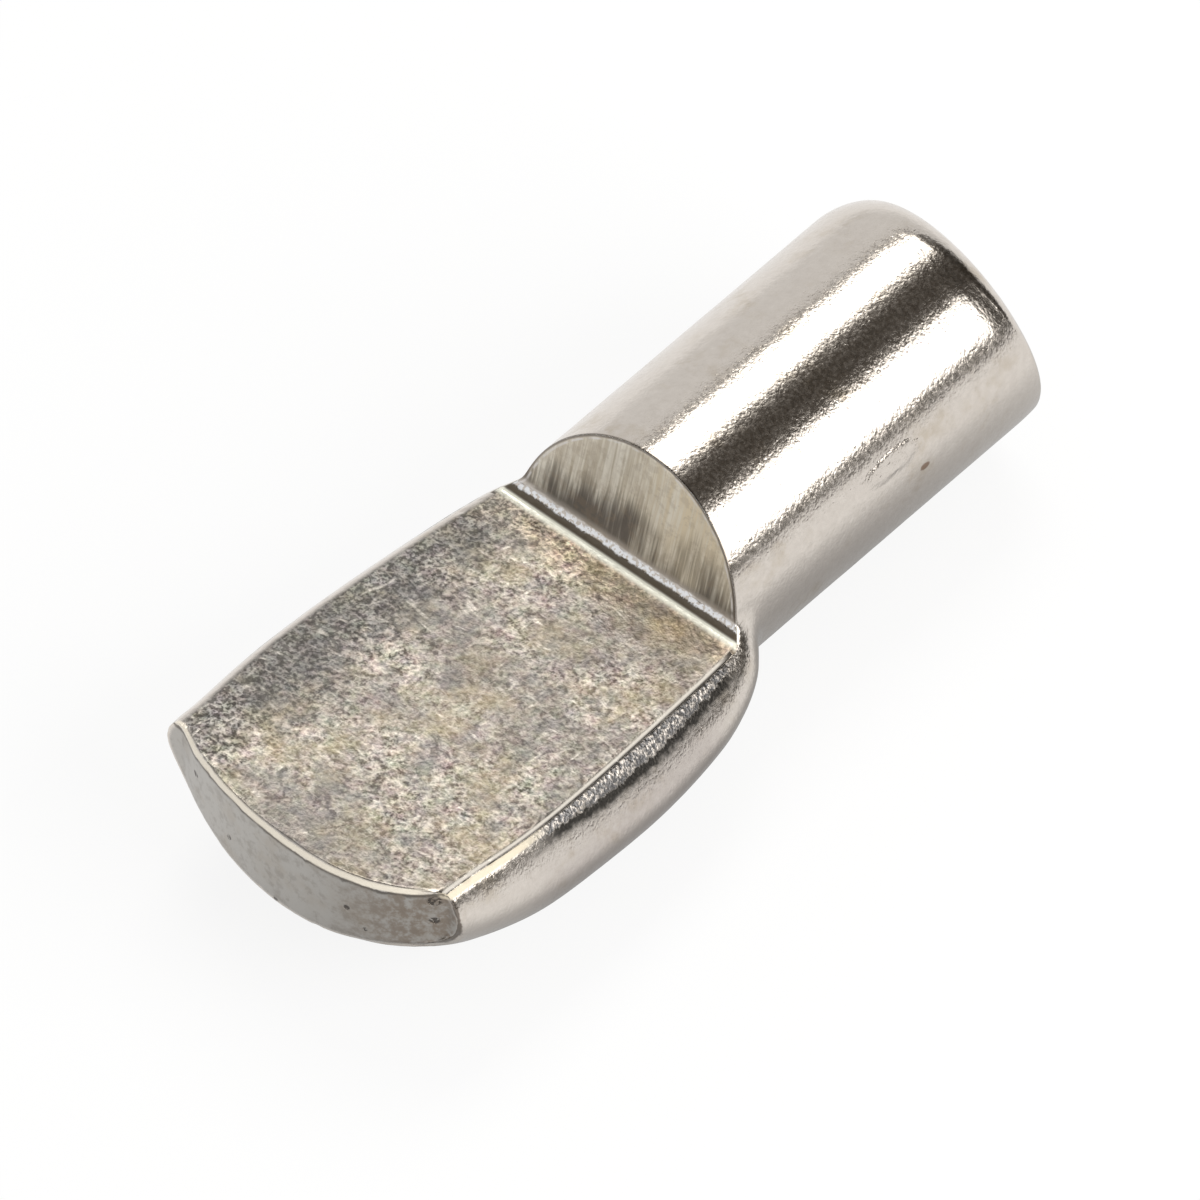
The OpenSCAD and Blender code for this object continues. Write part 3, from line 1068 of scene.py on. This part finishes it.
def edge_tones(g, tone):
    """Lines and marks over the faces' own tones: a worn facet, dark strips, pits, and lines of
    painted highlight and painted shade.
    """
    glint = g.ramp(g.total(g.stipple, g.times(g.crumple, 0.8)), 0.85, 1.02)
    # share of the fillet's painted glint, broken up by the stipple
    clean = g.ramp(g.stipple, 0.60, 0.48)
    return g.dabs(
        tone, (g.facet, g.blend(glint, 0.92, 0.25), FACET_DARK),
        (g.squeezed, 0.96, SQUEEZED_DARK), (g.rim, 0.75, RIM_PAINTED_HIGHLIGHT),
        (g.rim_shade, 0.75, RIM_PAINTED_SHADE), (g.tip_facet, 0.9, TIP_FACET_PAINTED_HIGHLIGHT),
        (g.crease, 0.8, CREASE_PAINTED_SHADE), (g.under_bevel, 0.75, BEVEL_DARK_BAND),
        (g.bevel, 0.85, BEVEL_PAINTED_HIGHLIGHT), (g.arc_worn, 0.7, ARC_PAINTED_HIGHLIGHT),
        (g.arc_line, 0.75, ARC_PAINTED_SHADE), (g.cream, 1.0, FILLET_PAINTED_HIGHLIGHT),
        (g.hollow, 0.93, FILLET_PAINTED_DARK_REFLECTION), (g.burnished, clean, FILLET_PAINTED_GLINT),
        (g.pit, 0.8, PIT_DARK))


def plate_metallic(g):
    """Metal all over, but less of a mirror on the wall and in the lines of painted highlight and
    painted dark reflection.
    """
    coated = g.most(g.hollow, g.cream, g.rim, g.bevel, g.tip_facet,
                    g.times(g.burnished, 0.55))
    return g.blend(coated, g.blend(g.dull_wall, 1.0, 0.15), 0.22)


def plate_roughness(g):
    """Smooth plating, and rougher where the press and the shears worked."""
    rough = g.total(0.18, g.times(g.grain["Speckle"], 0.06))
    for mask, worked in ((g.matte, g.blend(g.scratch, 0.46, 0.36)), (g.dull_wall, 0.52),
                         (g.dull_tip, 0.42), (g.rough_side, 0.34),
                         (g.ramp(g.bend, 12.0, 18.0), 0.30), (g.tip_facet, 0.55)):
        rough = g.blend(mask, rough, worked)
    return rough


def nickel_plate():
    """Bright nickel on the pin, duller and rougher where the press and the shears worked."""
    material, g, shader = new_material("nickel_plate", {})
    for step in (add_patterns, add_face_masks, add_side_masks, add_line_masks, add_round_marks):
        step(g)
    tone = bare_tone(g)
    for mask, face_tone in ((g.matte, flat_tone), (g.dull_wall, wall_tone),
                            (g.dull_tip, tip_tone)):
        tone = g.tint(mask, tone, face_tone(g))
    g.put(shader.inputs["Base Color"], edge_tones(g, tone))
    for name, step in (("Metallic", plate_metallic), ("Roughness", plate_roughness),
                       ("Normal", plate_relief)):
        g.put(shader.inputs[name], step(g))
    return material


steel = nickel_plate()
piece.data.materials.append(steel)
apply_relief(piece, relief_tree(), {**RELIEF, "Seed": SEED, "Material": steel})
keep_inside(piece.data, BOX_LOW, BOX_HIGH)

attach(piece, "root")
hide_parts("support_pin")

# -------- light

# radius in metres of a tunnel of lamps round the pin's line, with the cards just outside it
LIGHT_R = 0.30
CARD_R = LIGHT_R * 1.08
# a facet of a card spans about this many degrees
CARD_STEP = 4
CARD_SHADE = (0.036, 0.028, 0.020)
# what the room adds as diffuse light, beside the white that is seen and mirrored
ROOM_STRENGTH = 0.7


def around(turn, reach_y, radius):
    """Point on the tunnel, at a turn from straight up towards +X, in degrees."""
    t = radians(turn)
    return Vector((radius * sin(t), reach_y * radius, radius * cos(t)))


def softbox(name, turns, reach, strength, colour):
    """Area lamp on the tunnel, facing the pin's line."""
    lamp = bpy.data.lights.new(name, "AREA")
    lamp.shape = "RECTANGLE"
    middle = sum(turns) / 2
    lamp.size = 2 * LIGHT_R * tan(radians(abs(turns[1] - turns[0]) / 2))
    lamp.size_y = (reach[1] - reach[0]) * LIGHT_R
    lamp.energy = strength * pi * lamp.size * lamp.size_y
    lamp.color = colour
    obj = add_object(name, lamp)
    obj.location = around(middle, (reach[0] + reach[1]) / 2, LIGHT_R)
    obj.rotation_euler = (0, radians(middle), 0)


def dark_card():
    """Matt, nearly black card."""
    return new_material("dark_card", {"Base Color": (*CARD_SHADE, 1), "Roughness": 1})[0]


def card(name, board, turns, reach):
    """Card on the tunnel that only shows in what the metal mirrors."""
    steps = max(2, int(abs(turns[1] - turns[0]) / CARD_STEP) + 1)
    verts, faces = [], []
    for i, turn in enumerate(np.linspace(turns[0], turns[1], steps)):
        verts += [around(turn, reach[0], CARD_R), around(turn, reach[1], CARD_R)]
        if i:
            faces.append((2 * i - 2, 2 * i, 2 * i + 1, 2 * i - 1))
    mesh = bpy.data.meshes.new(name)
    mesh.from_pydata(verts, [], faces)
    mesh.materials.append(board)
    obj = add_object(name, mesh)
    obj.visible_camera = False
    obj.visible_diffuse = False
    obj.visible_shadow = False
    obj.visible_transmission = False


def studio_world():
    """White wherever it is seen, mirrored or looked through, and dimmer as diffuse light."""
    world = bpy.data.worlds.new("studio")
    bpy.context.scene.world = world
    world.use_nodes = True
    world.node_tree.nodes.clear()
    g = Graph(world.node_tree)
    rays = g.node("ShaderNodeLightPath").outputs
    seen = g.most(rays["Is Camera Ray"], rays["Is Glossy Ray"], rays["Is Transmission Ray"])
    room = g.node("ShaderNodeBackground", Strength=ROOM_STRENGTH)
    white = g.node("ShaderNodeBackground", Strength=1.0)
    surface = g.node("ShaderNodeOutputWorld").inputs["Surface"]
    g.put(surface, g.shaders(seen, room.outputs[0], white.outputs[0]))


softbox("left_softbox", (-32.5, -8), (0.10, 0.95), 3.9, (1, 0.985, 0.95))
softbox("right_softbox", (39.5, 75.5), (-0.25, 0.73), 4.0, (1, 0.99, 0.97))
card_board = dark_card()
card("overhead_card", card_board, (-42, 38), (-0.65, 5.0))
card("right_card", card_board, (38, 101.5), (-0.65, 5.0))
studio_world()

# -------- floor

FLOOR_SIZE = 6
FLOOR_GAP = 0.01
# the floor that the metal mirrors has a painted shadow close beside the piece: the dark oval's
# middle in metres, how many of its reaches go into a metre, and two distances with the strength at
# each
DARK_MIDDLE = (0.002, -0.001, 0)
DARK_STRETCH = (182, 77, 0)
DARK_RAMP = (0.35, 1.4, 0.43, 1.0)
# how much plain white goes over the floor that the camera sees
FLOOR_WHITE = 0.85


def pale_paper():
    """Nearly white paper with a soft shadow, and a painted shadow where the metal mirrors it close
    by.
    """
    paper, g, base = new_material("pale_paper", {
        "Base Color": (0.9, 0.9, 0.9, 1), "Roughness": 0.9, "Specular IOR Level": 0})
    rays = g.node("ShaderNodeLightPath").outputs
    spot = g.vector("SUBTRACT", g.node("ShaderNodeTexCoord").outputs["Object"], DARK_MIDDLE)
    mirrored = g.ramp(g.span("LENGTH", g.vector("MULTIPLY", spot, DARK_STRETCH)), *DARK_RAMP)
    glow = g.node("ShaderNodeEmission", Strength=g.blend(rays["Is Glossy Ray"], 1.0, mirrored))
    seen = g.total(g.times(rays["Is Camera Ray"], FLOOR_WHITE), rays["Is Glossy Ray"])
    surface = g.tree.nodes["Material Output"].inputs["Surface"]
    g.put(surface, g.shaders(seen, base.outputs[0], glow.outputs[0]))
    return paper


bpy.ops.mesh.primitive_plane_add(size=FLOOR_SIZE, location=(0, 0, (BOX_LOW[2] - FLOOR_GAP) * MM))
floor = bpy.context.object
floor.name = "pale_floor"
floor.data.materials.append(pale_paper())

# -------- camera

VIEW_TURN = radians(41.596)
VIEW_RISE = radians(49.1)
LENS, SENSOR = 631.35, 36
# metres from the camera to where it aims, which is left of and below the shoulder's foot
VIEW_DISTANCE = 0.3645
AIM_LEFT, AIM_DOWN = 0.443, 0.509


def place_camera():
    """Long lens that looks down on the piece from its front right."""
    back_way = Vector((sin(VIEW_TURN) * cos(VIEW_RISE),
                       -cos(VIEW_TURN) * cos(VIEW_RISE), sin(VIEW_RISE)))
    right_way = Vector((cos(VIEW_TURN), sin(VIEW_TURN), 0))
    up_way = back_way.cross(right_way)
    aim = Vector((0, -SETBACK * MM, 0)) - right_way * AIM_LEFT * MM - up_way * AIM_DOWN * MM
    lens = bpy.data.cameras.new("camera")
    lens.lens = LENS
    lens.sensor_width = SENSOR
    lens.clip_start = 0.01
    lens.clip_end = 20
    camera = add_object("camera", lens)
    camera.location = aim + back_way * VIEW_DISTANCE
    camera.rotation_euler = back_way.to_track_quat("Z", "Y").to_euler()
    bpy.context.scene.camera = camera


place_camera()
bpy.context.scene.view_settings.view_transform = "Standard"
